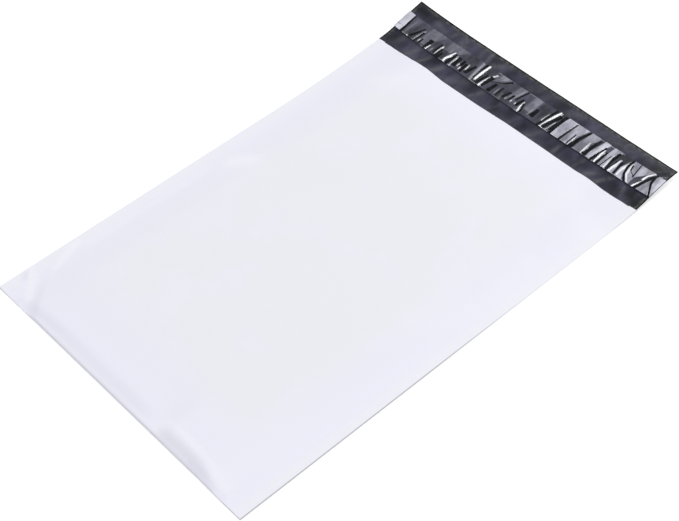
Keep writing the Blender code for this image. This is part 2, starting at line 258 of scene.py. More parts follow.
# The liner, in mm: x along the bag and t across the liner from its lower edge. A line is a list of (x, t).
# Folds stand up along a line: line, height, width of the left slope and of the right slope.
FOLDS = (
    (((0.9, 0.0), (2.4, 2.8)), 0.30, 1.0, 2.2),
    (((7.2, 0.3), (8.6, 9.5)), 0.14, 1.0, 1.0), (((9.8, -0.5), (10.1, 0.6)), 0.30, 0.8, 0.8),
    (((15.0, 0.4), (17.2, 8.3)), 0.34, 0.6, 1.2), (((18.1, 1.4), (18.4, 2.9)), 0.40, 0.7, 0.9),
    (((24.7, -0.5), (26.0, 3.6)), 0.38, 0.6, 1.0), (((28.1, 0.8), (28.8, 3.2)), 0.25, 0.6, 0.8),
    (((32.0, 0.8), (33.2, 7.2)), 0.52, 0.7, 1.3), (((38.6, 6.0), (39.8, 9.3)), 0.16, 0.7, 0.8),
    (((39.0, -0.5), (39.0, 2.1), (41.9, 8.2)), 0.58, 0.8, 1.5),
    (((44.2, -0.5), (44.4, 3.0), (44.7, 7.4)), 0.36, 0.8, 1.1),
    (((48.3, 2.6), (48.5, 4.6)), 0.32, 0.7, 0.9), (((50.2, 1.4), (50.6, 3.4)), 0.34, 0.6, 0.9),
    (((54.0, 2.6), (54.3, 7.0)), 0.34, 0.7, 0.9), (((60.2, -0.5), (60.0, 5.0), (60.5, 12.3)), 0.26, 1.0, 1.6),
    (((62.4, 1.8), (64.6, 14.0)), 0.72, 0.9, 1.7),
    (((66.4, -0.5), (69.7, 7.8), (72.0, 10.8)), 0.80, 1.0, 2.1),
    (((78.2, 1.2), (78.8, 5.6)), 0.24, 0.7, 0.8), (((85.8, 2.3), (86.0, 3.6)), 0.26, 0.6, 0.7),
    (((89.6, 2.4), (89.8, 3.9)), 0.34, 0.6, 0.7), (((92.4, 2.8), (92.6, 3.9)), 0.26, 0.6, 0.7),
    (((96.5, -0.5), (96.2, 3.3), (96.5, 6.6)), 0.48, 0.8, 1.1), (((89.9, 5.6), (93.0, 13.4)), 0.22, 0.9, 0.9),
    (((102.7, 1.8), (103.5, 6.0)), 0.22, 0.7, 0.8), (((104.8, 1.9), (104.9, 3.1)), 0.30, 0.6, 0.7),
    (((111.4, 3.6), (113.2, 8.8)), 0.26, 0.6, 0.9), (((113.1, -0.5), (117.8, 14.0)), 0.92, 0.9, 2.2),
    (((116.5, -0.5), (118.3, 2.2), (119.3, 6.7)), 0.42, 0.6, 0.9),
    (((134.0, -0.5), (134.6, 5.8)), 0.40, 0.5, 0.9),
    (((142.9, -0.5), (143.5, 7.2)), 0.56, 0.6, 1.2), (((148.2, -0.5), (151.0, 13.8)), 0.30, 1.2, 1.4),
    (((152.1, -0.5), (152.6, 9.0)), 0.62, 0.6, 1.4), (((158.7, -0.5), (159.0, 8.4)), 0.50, 0.5, 1.2),
    (((161.7, -0.5), (163.8, 8.8)), 0.55, 0.5, 1.2),
    (((166.7, 1.0), (166.9, 5.5), (168.8, 10.8)), 0.50, 0.8, 1.8),
    (((174.8, -0.5), (171.0, 4.1), (170.1, 10.4)), 0.70, 0.8, 1.6),
    (((177.8, -0.5), (180.0, 5.5), (181.0, 9.6), (183.9, 14.0)), 1.05, 1.0, 0.9),
    (((188.9, -0.5), (186.2, 4.8), (185.2, 9.0)), 0.60, 0.6, 0.8),
)

# Lines where the liner clings to the adhesive and looks black: line, half width at its lower and upper end
GROOVES = (
    (((5.6, -0.5), (5.7, 13.0)), 0.70, 0.30), (((12.2, 1.5), (16.6, 9.3)), 0.80, 0.50),
    (((16.2, -0.5), (17.9, 7.0)), 0.50, 0.45), (((19.4, 1.0), (20.0, 3.6)), 0.50, 0.40),
    (((24.0, -0.5), (25.4, 6.2)), 0.55, 1.10), (((31.0, 1.6), (32.1, 7.6)), 0.40, 0.50),
    (((33.2, -0.3), (34.4, 5.6)), 0.60, 0.50), (((35.2, 0.5), (35.8, 3.5)), 0.60, 0.50),
    (((42.0, 0.8), (43.7, 7.6)), 0.95, 0.60), (((46.6, 2.0), (47.2, 7.4)), 1.10, 0.90),
    (((50.4, 4.4), (50.9, 7.2)), 0.70, 0.60), (((52.4, 1.2), (53.0, 6.2)), 0.60, 0.70),
    (((55.6, 2.4), (58.4, 8.2)), 1.00, 0.60), (((61.8, 3.2), (63.7, 13.8)), 0.45, 0.80),
    (((65.4, 1.2), (67.8, 7.6)), 0.55, 0.50), (((69.4, 1.8), (71.6, 8.2)), 0.60, 0.90),
    (((72.9, 6.7), (79.1, 9.2), (82.7, 12.5)), 0.30, 0.60), (((74.4, 1.2), (76.0, 6.2)), 0.90, 0.70),
    (((79.9, 1.6), (80.9, 6.5)), 0.40, 0.40), (((84.2, 2.8), (86.4, 6.8)), 0.80, 0.60),
    (((88.1, 3.0), (89.4, 6.2)), 0.50, 0.60), (((94.2, 3.2), (95.7, 7.4)), 0.70, 0.55),
    (((91.8, 5.8), (94.6, 12.4)), 0.55, 0.40), (((98.4, 1.2), (97.6, 5.6)), 0.50, 0.40),
    (((105.7, 2.6), (106.5, 7.2)), 1.10, 0.80), (((112.2, 0.4), (116.2, 13.8)), 0.55, 0.70),
    (((115.6, 1.2), (119.8, 11.0)), 0.70, 0.90), (((119.4, 2.2), (120.6, 6.6)), 0.45, 0.45),
    (((120.8, -0.5), (122.8, 13.8)), 0.70, 0.80), (((127.6, -0.5), (130.6, 12.0)), 0.45, 0.25),
    (((133.1, 0.8), (134.0, 6.8)), 0.28, 0.28), (((135.7, -0.5), (136.8, 6.0), (139.7, 13.0)), 1.00, 0.55),
    (((144.9, 1.0), (147.4, 12.0)), 0.85, 0.45), (((150.2, 0.8), (152.8, 10.0)), 0.45, 0.40),
    (((153.9, -0.3), (154.9, 8.2)), 0.55, 0.45), (((156.6, -0.3), (158.1, 7.4)), 0.22, 0.22),
    (((160.6, -0.5), (160.3, 6.8), (161.0, 11.4)), 0.40, 0.60), (((161.0, -0.3), (162.6, 6.8)), 0.30, 0.30),
    (((165.9, 0.9), (165.4, 8.2)), 0.55, 0.60),
    (((173.6, -0.5), (170.4, 3.8), (169.4, 7.8), (169.7, 14.0)), 0.55, 0.45),
    (((175.4, 5.0), (174.4, 12.6)), 0.25, 0.20), (((175.2, 5.3), (172.0, 7.2), (171.2, 10.0)), 0.22, 0.22),
    (((177.3, -0.3), (180.3, 5.6)), 0.25, 0.25), (((180.2, -0.3), (182.3, 6.0), (185.3, 12.8)), 0.70, 0.60),
    (((189.9, -0.3), (185.7, 7.0), (184.9, 10.9)), 0.42, 0.50),
)

# Patches where the liner stands off the adhesive and looks pale: left line, right line, paleness, lift
PATCHES = (
    (((-1.0, 4.0), (-1.0, 14.0)), ((5.0, 4.0), (5.0, 14.0)), 1.35, 0.00),
    (((-1.0, -1.0), (-1.0, 2.5)), ((5.2, -1.0), (5.2, 2.5)), 1.50, 0.10),
    (((7.6, -1.0), (8.0, 12.0)), ((9.4, -1.0), (12.0, 13.0)), 0.10, 0.05),
    (((18.6, 2.0), (20.0, 13.0)), ((24.6, 1.0), (31.0, 13.0)), 0.18, 0.05),
    (((35.0, 7.0), (36.0, 13.2)), ((44.0, 8.0), (50.0, 13.2)), 0.14, 0.03),
    (((59.6, -1.0), (60.0, 12.6)), ((61.6, -1.0), (61.6, 12.6)), 0.34, 0.05),
    (((72.7, 6.9), (74.6, 14.0)), ((73.2, 6.9), (83.9, 14.0)), 0.36, 0.05),
    (((86.0, 3.0), (88.6, 13.6)), ((91.0, 3.0), (94.0, 13.6)), 0.20, 0.04),
    (((81.6, 0.6), (82.0, 4.0)), ((84.0, 0.6), (83.6, 4.0)), 0.26, 0.05),
    (((98.8, 4.0), (100.0, 12.8)), ((104.6, 4.0), (106.0, 12.8)), 0.28, 0.05),
    (
        ((121.5, -1.0), (123.4, 11.0), (124.6, 14.0)),
        ((127.0, -1.0), (130.0, 11.9), (132.0, 14.0)), 0.60, 0.42,
    ),
    (((128.3, -1.0), (130.9, 12.0), (132.0, 14.0)), ((134.8, -1.0), (135.6, 6.6), (138.8, 14.0)), 0.56, 0.40),
    (((137.4, -1.0), (138.4, 5.0), (140.6, 14.0)), ((143.8, -1.0), (144.4, 7.0), (147.2, 14.0)), 0.46, 0.38),
    (((146.7, -1.0), (146.9, 4.0), (149.9, 14.0)), ((149.6, -1.0), (151.4, 6.0), (154.0, 14.0)), 0.80, 0.42),
    (((151.6, -1.0), (152.4, 8.8)), ((153.6, -1.0), (153.6, 8.8)), 0.70, 0.05),
    (((154.7, -1.0), (155.6, 8.0), (156.4, 14.0)), ((159.8, -1.0), (160.0, 8.0), (162.4, 14.0)), 0.62, 0.40),
    (((161.2, -1.0), (163.4, 8.8)), ((165.0, -1.0), (164.4, 8.8)), 0.70, 0.10),
    (((164.6, -1.0), (166.2, 5.5), (168.4, 10.6)), ((172.0, -1.0), (169.4, 4.0), (169.0, 10.8)), 0.72, 0.20),
    (
        ((173.8, -1.0), (170.7, 4.0), (170.0, 8.0), (170.3, 14.0)),
        ((176.0, -1.0), (176.2, 5.2), (184.6, 14.0)), 0.62, 0.15,
    ),
    (
        ((177.6, -1.0), (179.9, 5.5), (180.9, 9.6), (183.7, 14.0)),
        ((178.7, -1.0), (181.0, 5.5), (182.0, 9.6), (185.2, 14.0)), 1.00, 0.00,
    ),
    (((180.9, -1.0), (182.8, 6.0), (185.0, 11.0)), ((188.4, -1.0), (185.6, 6.6), (185.4, 11.0)), 0.55, 0.12),
    (((190.4, -1.0), (186.3, 7.4), (185.4, 14.0)), ((192.0, -1.0), (192.0, 14.0)), 1.00, 0.05),
)

# Stretches of the liner's lower edge that curl up, with a painted highlight along them, as (from, to,
# paleness)
PALE_EDGE = (
    (5.8, 11.0, 0.55), (14.0, 16.0, 0.35), (22.0, 26.0, 0.30), (36.0, 41.0, 0.40), (43.5, 45.5, 0.55),
    (60.0, 66.0, 0.45), (66.4, 68.6, 0.80), (78.0, 84.0, 0.25), (94.5, 98.0, 0.30), (113.0, 119.5, 0.60),
    (121.4, 127.2, 0.85), (128.2, 135.4, 0.85), (137.2, 144.4, 0.65),
    (146.6, 153.8, 0.80), (154.6, 173.0, 0.70),
)
PALE_EDGE_WIDTH = 0.45

# Stretches of its upper edge with a painted highlight line
PALE_TOP = (
    (72.0, 84.0, 0.45), (96.0, 104.0, 0.25), (124.0, 146.0, 0.60), (147.0, 163.0, 0.45), (175.0, 185.0, 0.75),
)

# Where the paleness along each edge starts to fade, and how soft its ends are, in mm
PALE_EDGE_DEPTH, PALE_TOP_DEPTH = 0.20, 0.15
PALE_END = 0.6

# Faint patches have softer sides than clear ones, in mm, and all reach out by a share of that
FAINT_BELOW = 0.4
FAINT_FEATHER, CLEAR_FEATHER = 2.2, 0.45
PATCH_REACH = 0.35

# The folds' widths are spread by this, and their height is at most this share of their right slope's width
FOLD_SPREAD = 1.3
FOLD_STEEPNESS = 0.37

# The clinging lines: how much wider than given, their full share and its fade, their depth in mm, and how
# much the cling is raised before the black faces are chosen
GROOVE_SPREAD = 1.3
GROOVE_CORE, GROOVE_FADE = 0.55, 0.7
CONTACT_DEPTH = 0.12
BLACK_GAIN = 3.0

# The painted highlight stroke down each fold's right slope: its middle and half width as shares of the slope's
# width
STROKE_MIDDLE, STROKE_WIDTH, STROKE_LEAST = 0.45, 0.32, 0.20
STROKE_END_WIDTH = 0.4
STROKE_CORE, STROKE_FADE = 0.45, 0.8
STROKE_FULL_HEIGHT, STROKE_POWER = 0.60, 1.7

# The liner's columns of points lean as most of its folds do
LINER_LEAN = 0.20
LEAN_FADE = 12.0 * MM

# Its lines fade out over this length past their ends, in mm
END_FADE = 0.9

# Lamps, all at one distance: direction that the light comes from, width and length in metres, watts
LAMP_DISTANCE = 4.0
LAMPS = {
    "key": ((0.20, -0.12, 0.97), (0.6, 2.0), 58.5),
    "fill": ((-0.20, 0.78, 0.60), (2.6, 2.6), 43.5),
}
WORLD_LIGHT = 0.465
FLOOR_HALF = 3.0
FLOOR_DROP = 0.3 * MM
FLOOR_GREY, FLOOR_GLOW = 0.60, 0.56


def smooth(t):
    t = np.clip(t, 0.0, 1.0)
    return t * t * (3.0 - 2.0 * t)


def between(value, low, high, softness, reach=0.0):
    """1 between low and high and 0 outside, with soft ends that reach out by a share of their softness."""
    return smooth((value - low) / softness + reach) * smooth((high - value) / softness + reach)


def to_side(x):
    """Distance from the nearer side of the bag."""
    return np.minimum(x, BAG_WIDTH - x)


def across(u, values):
    """A value given at the left side, the middle and the right side, with a smooth curve through them."""
    left, middle, right = values
    return left * (2.0 * u - 1.0) * (u - 1.0) + middle * 4.0 * u * (1.0 - u) + right * u * (2.0 * u - 1.0)


def mouth_lift(u):
    return MIDDLE_LIFT + LEFT_LIFT * (1.0 - u) ** LIFT_FALLOFF + RIGHT_LIFT * u**LIFT_FALLOFF


def lift_start(u):
    return LEFT_LIFT_START + (RIGHT_LIFT_START - LEFT_LIFT_START) * u


def floor_height(x, y):
    """Height of the back panel's underside above the floor."""
    u = x / BAG_WIDTH
    t = np.maximum((y - lift_start(u)) / (BAG_LENGTH - lift_start(u)), 0.0)
    return mouth_lift(u) * t * t


def pressed(from_side, y, press):
    along_fold, along_seal, softness = press
    return smooth((from_side / along_fold + y / along_seal - 1.0) / softness)


def corner_press(x, y):
    """0 in the pressed triangles at the bottom corners, and 1 past them."""
    return pressed(x, y, LEFT_PRESS) * pressed(BAG_WIDTH - x, y, RIGHT_PRESS)


def fullness(x):
    """0 at the seals, and 1 where the pocket has its full height."""
    return smooth((to_side(x) - SEAL_WIDTH) / SIDE_RAMP)


def fold_shape(x):
    """How quickly the pocket rises from the fold: a plump roll in places, a slow rise between them."""
    total = np.zeros(np.shape(x))
    for start, rise, end, fall, plumpness in ROLLS:
        total = total + plumpness * smooth((x - start) / rise) * smooth((end - x) / fall)
    return np.clip(total, 0.0, 1.0)


def pocket_gap(x, y):
    """Clear height between the two panels."""
    slow = smooth(y / FOLD_RAMP)
    narrowing = sum(share * smooth((x - start) / length) for start, length, share in NARROWINGS)
    quick = smooth(y / (PLUMP_RAMP * (1.0 - narrowing))) * PLUMP_SHARE + (1.0 - PLUMP_SHARE) * slow
    rise = slow + (quick - slow) * fold_shape(x)
    return fullness(x) * (FOLD_GAP + (POCKET_HEIGHT - FOLD_GAP) * rise)


def billows(x, y, seed, longest, count, height):
    """Low irregular waves: a seeded sum of sines of several lengths and directions."""
    chance = random.Random(seed)
    total = np.zeros(np.broadcast(x, y).shape)
    for _ in range(count):
        length = longest * chance.uniform(SHORTEST_WAVE, 1.0)
        turn = chance.uniform(0.0, math.pi)
        phase = chance.uniform(0.0, 2.0 * math.pi)
        along = x * math.cos(turn) + y * math.sin(turn)
        total = total + np.sin(2.0 * math.pi * along / length + phase) * (length / longest)
    return height * total / math.sqrt(count)


def to_line(x, y, start, end):
    """Place along a line given in mm, from 0 at its start to 1 at its end, and the distance from it."""
    ax, ay = start[0] * MM, start[1] * MM
    bx, by = end[0] * MM, end[1] * MM
    t = ((x - ax) * (bx - ax) + (y - ay) * (by - ay)) / ((bx - ax) ** 2 + (by - ay) ** 2)
    near = np.clip(t, 0.0, 1.0)
    return near, np.hypot(x - ax - near * (bx - ax), y - ay - near * (by - ay))


def crease(x, y, start, end, height, width):
    """A soft ridge along the line from start to end, all in mm, lower towards both ends."""
    near, away = to_line(x, y, start, end)
    away = away / (width * MM)
    taper = between(near, 0.0, 1.0, CREASE_TAPER) * (1.0 - CREASE_END) + CREASE_END
    return height * MM * taper * np.exp(-away * (1.0 + away))


def soft_marks(x, y, marks):
    """0 to 1: the strength of a list of soft lines, in mm."""
    total = np.zeros(np.broadcast(x, y).shape)
    for start, end, width, strength in marks:
        _, away = to_line(x, y, start, end)
        total = np.maximum(total, strength * np.exp(-((away / (width * MM)) ** 2)))
    return total


def front_relief(x, y):
    """What the front panel's folds and waves add to its height."""
    inside = smooth((to_side(x) - SEAL_WIDTH) / SEAL_TO_WAVES) * smooth(y / FOLD_TO_WAVES)
    waves = sum(billows(x, y, *one) * inside for one in FRONT_WAVES)
    return sum((crease(x, y, *one) for one in BODY_CREASES), waves)


def flap_slope(u, s):
    """Slope of the flap in radians, at s along the film from the mouth."""
    start = np.arctan(2.0 * mouth_lift(u) / (BAG_LENGTH - lift_start(u)))
    knee = np.radians(across(u, KNEE_SLOPES))
    end = np.radians(across(u, END_SLOPES))
    knee_at = FLAP_KNEE * FLAP_LENGTH
    first = start + (knee - start) * smooth(s / knee_at)
    second = knee + (end - knee) * smooth((s - knee_at) / (FLAP_LENGTH - knee_at))
    return np.where(s < knee_at, first, second)


def flap_points(x, s, offset):
    """Points of the flap: x and s are grids, and offset is the height above the film's underside."""
    u = x / BAG_WIDTH
    y = np.full(x.shape, BAG_LENGTH)
    z = floor_height(x, BAG_LENGTH)
    for k in range(FLAP_STEPS):
        slope = flap_slope(u, s * (k + 0.5) / FLAP_STEPS)
        y = y + s / FLAP_STEPS * np.cos(slope)
        z = z + s / FLAP_STEPS * np.sin(slope)
    slope = flap_slope(u, s)
    return np.stack([x, y - offset * np.sin(slope), z + offset * np.cos(slope)], axis=-1)


def flap_relief(x, s):
    """What the flap's folds and waves add to its height."""
    waves = sum(billows(x, s, *one) for one in FLAP_WAVES)
    return sum((crease(x, s, *one) for one in FLAP_CREASES), waves) * smooth(s / MOUTH_TO_WAVES)


class Net:
    """The shader nodes of one material or world, with a shorthand for each kind that is used here."""

    def __init__(self, owner):
        owner.use_nodes = True
        self.nodes = owner.node_tree.nodes
        self.links = owner.node_tree.links

    def link(self, value, node, name):
        self.links.new(value, node.inputs[name])

    def noise(self, scale, detail=3.0, roughness=0.55, stretch=(1.0, 1.0, 1.0)):
        """A noise texture over the object's own coordinates, in metres."""
        where = self.nodes.new("ShaderNodeTexCoord")
        mapping = self.nodes.new("ShaderNodeMapping")
        mapping.inputs["Scale"].default_value = stretch
        made = self.nodes.new("ShaderNodeTexNoise")
        made.inputs["Scale"].default_value = scale
        made.inputs["Detail"].default_value = detail
        made.inputs["Roughness"].default_value = roughness
        self.link(where.outputs["Object"], mapping, "Vector")
        self.link(mapping.outputs["Vector"], made, "Vector")
        return made.outputs["Fac"]

    def ramp(self, value, low, high, first=0.0, second=1.0):
        """A value remapped from low..high to first..second."""
        made = self.nodes.new("ShaderNodeMapRange")
        made.inputs["From Min"].default_value = low
        made.inputs["From Max"].default_value = high
        made.inputs["To Min"].default_value = first
        made.inputs["To Max"].default_value = second
        self.link(value, made, "Value")
        return made.outputs["Result"]

    def combine(self, operation, first, second, clamp=False):
        made = self.nodes.new("ShaderNodeMath")
        made.operation = operation
        made.use_clamp = clamp
        self.link(first, made, 0)
        self.link(second, made, 1)
        return made.outputs[0]

    def mix(self, factor, first, second):
        """A mix of two colours, each a tuple or a socket."""
        made = self.nodes.new("ShaderNodeMix")
        made.data_type = "RGBA"
        self.link(factor, made, "Factor")
        for name, colour in (("A", first), ("B", second)):
            if isinstance(colour, tuple):
                made.inputs[name].default_value = (*colour, 1.0)
            else:
                self.link(colour, made, name)
        return made.outputs["Result"]

    def mask(self, name):
        made = self.nodes.new("ShaderNodeAttribute")
        made.attribute_name = name
        return made.outputs["Fac"]

    def bump(self, height, strength, distance, before=None):
        made = self.nodes.new("ShaderNodeBump")
        made.inputs["Strength"].default_value = strength
        made.inputs["Distance"].default_value = distance
        self.link(height, made, "Height")
        if before is not None:
            self.link(before, made, "Normal")
        return made.outputs["Normal"]


def material(name, specular=None, roughness=None):
    """A new material, its net and its main shader."""
    made = bpy.data.materials.new(name)
    net = Net(made)
    shader = net.nodes["Principled BSDF"]
    if specular is not None:
        shader.inputs["Specular IOR Level"].default_value = specular
    if roughness is not None:
        shader.inputs["Roughness"].default_value = roughness
    return made, net, shader


def white_film_material():
    made, net, shader = material("white_film", specular=0.35)
    patchy = net.ramp(net.noise(26.0, 5.0, 0.65), 0.36, 0.56, 0.40, 1.15)
    middle = net.combine("MULTIPLY", patchy, net.mask("middle"), clamp=True)
    body = net.mix(middle, (0.874, 0.870, 0.972), (0.858, 0.866, 0.908))
    sealed = net.mix(net.mask("seal"), body, (0.884, 0.884, 0.955))
    shaded = net.mix(net.mask("shaded"), sealed, (0.780, 0.775, 0.890))
    # Painted highlights and lighter patches on the white film, broken up by noise
    uneven = net.ramp(net.noise(90.0, 4.0), 0.30, 0.60, 0.65, 1.0)
    marked = net.combine("MULTIPLY", uneven, net.mask("painted_highlight"))
    lit = net.mix(marked, shaded, (0.925, 0.927, 0.995))
    # The mouth's dark cut edge with a painted shadow under it, and painted shadow lines along the fold and the
    # right seal's edge
    net.link(net.mix(net.mask("cut_edge_and_shadow"), lit, (0.010, 0.010, 0.016)), shader, "Base Color")
    net.link(net.ramp(net.noise(60.0), 0.3, 0.7, 0.34, 0.46), shader, "Roughness")
    fine = net.bump(net.noise(420.0, 4.0), 0.10, 0.00010)
    net.link(net.bump(net.noise(75.0, 2.0), 0.18, 0.0006, fine), shader, "Normal")
    return made


def charcoal_film_material():
    made, net, shader = material("charcoal_film", specular=0.20)
    broad = net.ramp(net.noise(38.0, 2.0), 0.35, 0.65)
    film = net.mix(broad, (0.008, 0.008, 0.023), (0.020, 0.020, 0.034))
    streaks = net.ramp(net.noise(120.0, 2.0, 0.5, (1.0, 0.4, 1.0)), 0.38, 0.70)
    film = net.mix(streaks, film, (0.060, 0.060, 0.100))
    grain = net.ramp(net.noise(240.0, 4.0, 0.65), 0.35, 0.62, 0.25, 1.0)
    # Painted highlights on the flap's charcoal film, broken up by noise
    film = net.mix(net.combine("MULTIPLY", grain, net.mask("painted_highlight")), film, (0.115, 0.116, 0.134))
    # Painted shade in the flap's corners and folds
    film = net.mix(net.mask("shaded"), film, (0.001, 0.001, 0.004))
    speckle = net.ramp(net.noise(420.0, 2.0), 0.40, 0.60)
    mottled = net.mix(speckle, (0.020, 0.021, 0.026), (0.085, 0.092, 0.084))
    film = net.mix(net.mask("dull_edge"), film, mottled)
    net.link(net.mix(net.mask("border"), film, (0.002, 0.002, 0.004)), shader, "Base Color")
    net.link(net.ramp(net.noise(90.0), 0.3, 0.7, 0.30, 0.44), shader, "Roughness")
    fine = net.bump(net.noise(520.0, 4.0), 0.12, 0.00012)
    net.link(net.bump(net.noise(110.0, 3.0), 0.40, 0.0008, fine), shader, "Normal")
    return made


def spotted_material(name, specular, roughness, spots, colours, grain):
    """Two colours in spots of (scale, low, high), under a fine grain of (scale, strength)."""
    made, net, shader = material(name, specular, roughness)
    scale, low, high = spots
    net.link(net.mix(net.ramp(net.noise(scale), low, high), *colours), shader, "Base Color")
    scale, strength = grain
    net.link(net.bump(net.noise(scale), strength, 0.0001), shader, "Normal")
    return made


def charcoal_rim_material():
    """The dark line along the flap's cut edges."""
    colours = ((0.001, 0.001, 0.002), (0.012, 0.012, 0.014))
    return spotted_material("charcoal_rim", 0.08, 0.6, (300.0, 0.35, 0.65), colours, (500.0, 0.15))


def clinging_liner_material():
    """The liner where it clings to the adhesive over the charcoal film: wet and black."""
    colours = ((0.0005, 0.0005, 0.001), (0.010, 0.010, 0.016))
    return spotted_material("clinging_liner", 0.12, 0.18, (300.0, 0.35, 0.65), colours, (600.0, 0.10))


def adhesive_material():
    colours = ((0.10, 0.095, 0.08), (0.16, 0.15, 0.13))
    return spotted_material("adhesive", None, 0.25, (200.0, 0.3, 0.7), colours, (900.0, 0.3))


def liner_material():
    made, net, shader = material("release_liner", specular=0.50, roughness=0.15)
    streak = net.ramp(net.noise(150.0, 4.0, 0.6, (1.0, 0.5, 1.0)), 0.35, 0.65)
    wet = net.mix(streak, (0.006, 0.006, 0.018), (0.072, 0.074, 0.116))
    dry = net.mix(streak, (0.50, 0.50, 0.58), (0.75, 0.76, 0.88))
    cloudy = net.ramp(net.noise(230.0, 3.0, 0.6, (1.0, 0.35, 1.0)), 0.36, 0.60, 0.50, 1.25)
    # The pale colour where the liner stands off the adhesive, and painted highlights along its curled edges
    film = net.mix(net.combine("MULTIPLY", net.mask("dry"), cloudy, clamp=True), wet, dry)
    # Painted highlight strokes down the liner's folds
    film = net.mix(net.mask("stroke"), film, (0.93, 0.93, 0.99))
    net.link(net.mix(net.mask("clinging"), film, (0.001, 0.001, 0.003)), shader, "Base Color")
    fine = net.bump(net.noise(700.0, 3.0, 0.5, (1.0, 0.4, 1.0)), 0.06, 0.00010)
    net.link(fine, shader, "Normal")
    return made


class Skin:
    """Points, triangles and vertex masks of one closed mesh, collected from grids."""

    def __init__(self, masks):
        self.points = []
        self.count = 0
        self.faces = []
        self.slots = []
        self.masks = {name: [] for name in masks}

    def add(self, grid, **values):
        """Adds a grid of points and returns the grid of their numbers. A mask not given is 0."""
        flat = grid.reshape(-1, 3)
        self.points.append(flat)
        for name, kept in self.masks.items():
            kept.append(np.broadcast_to(values.get(name, 0.0), grid.shape[:-1]).reshape(-1))
        numbers = np.arange(self.count, self.count + len(flat)).reshape(grid.shape[:-1])
        self.count += len(flat)
        return numbers

    def sheet(self, numbers, upwards, slot=0, marks=None):
        """Triangles over a grid of point numbers. Cells whose marks pass a half take the next slot."""
        a, b = numbers[:-1, :-1].ravel(), numbers[1:, :-1].ravel()
        c, d = numbers[1:, 1:].ravel(), numbers[:-1, 1:].ravel()
        triangles = np.concatenate([np.stack([a, b, c], 1), np.stack([a, c, d], 1)])
        slots = np.full(len(triangles), slot)
        if marks is not None:
            cells = (marks[:-1, :-1] + marks[1:, :-1] + marks[1:, 1:] + marks[:-1, 1:]).ravel() / 4.0
            slots += np.concatenate([cells, cells]) > 0.5
        self.keep(triangles if upwards else triangles[:, ::-1], slots)

    def keep(self, triangles, slots):
        """Keeps triangles, apart from those that have shrunk to a line."""
        whole = (
            (triangles[:, 0] != triangles[:, 1])
            & (triangles[:, 1] != triangles[:, 2])
            & (triangles[:, 0] != triangles[:, 2])
        )
        self.faces.append(triangles[whole])
        self.slots.append(np.broadcast_to(slots, whole.shape)[whole])

    def turned(self, triangles, as_listed):
        """Keeps triangles of the first slot as listed, or turned over."""
        self.keep(triangles if as_listed else triangles[:, ::-1], 0)

    def slab(self, lower, upper, marks=None):
        """A closed slab between a lower and an upper grid of point numbers."""
        self.sheet(upper, upwards=True, marks=marks)
        self.sheet(lower, upwards=False)
        self.sheet(np.stack([lower[:, 0], upper[:, 0]], 1), upwards=True)
        self.sheet(np.stack([upper[:, -1], lower[:, -1]], 1), upwards=True)
        self.sheet(np.stack([upper[0], lower[0]]), upwards=False)
        self.sheet(np.stack([lower[-1], upper[-1]]), upwards=False)

    def finish(self, name, materials, body, node):
        """Makes the object, in the frame's own coordinates."""
        points = np.concatenate(self.points) - np.array([BAG_WIDTH / 2.0, BAG_LENGTH / 2.0, 0.0])
        faces = np.concatenate(self.faces)
        used, inverse = np.unique(faces, return_inverse=True)
        data = bpy.data.meshes.new(name)
        data.from_pydata(points[used].tolist(), [], inverse.reshape(-1, 3).tolist())
        data.polygons.foreach_set("material_index", np.concatenate(self.slots).astype(np.int32))
        data.shade_smooth()
        for mask_name, kept in self.masks.items():
            layer = data.attributes.new(mask_name, "FLOAT", "POINT")
            layer.data.foreach_set("value", np.concatenate(kept)[used].astype(np.float32))
        data.set_sharp_from_angle(angle=math.radians(SHARP_ANGLE))
        for one in materials:
            data.materials.append(one)
        made = bpy.data.objects.new(name, data)
        bpy.context.scene.collection.objects.link(made)
        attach(made, body)
        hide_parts(node)
        return made


def film_columns():
    """Columns of the film: close together at the cut edges and seals, and even over the pocket."""
    border = [0.0, EDGE_LINE, BORDER_LINE, BORDER_FADE]
    left = np.concatenate([border, np.linspace(SEAL_WIDTH / 5.0, SEAL_WIDTH, 5)])
    pocket = np.linspace(SEAL_WIDTH, BAG_WIDTH - SEAL_WIDTH, FILM_COLUMNS + 1)
    first = len(left) - 1
    places = np.concatenate([left[:-1], pocket, (BAG_WIDTH - left[:-1])[::-1]])
    return places, first, first + FILM_COLUMNS


def body_rows():
    """Rows of both panels from the fold to the mouth, as shares: closer at the fold, and at the cut edge."""
    rows = np.linspace(0.0, 1.0, BODY_ROWS + 1)[None, :] ** ROW_GROWTH
    rows[0, -3:-1] = 1.0 - np.array([EDGE_FADE, EDGE_LINE]) / BAG_LENGTH
    return rows


def flap_rows():
    """Rows of the flap from the mouth to its cut edge, in metres."""
    even = np.linspace(0.0, FLAP_LENGTH - BORDER_FADE, FLAP_ROWS - 1)[1:]
    return np.concatenate([even, [FLAP_LENGTH - BORDER_LINE, FLAP_LENGTH]])[None, :]


def column(x, y, z):
    return np.stack([np.broadcast_to(x, z.shape), np.broadcast_to(y, z.shape), z], axis=-1)


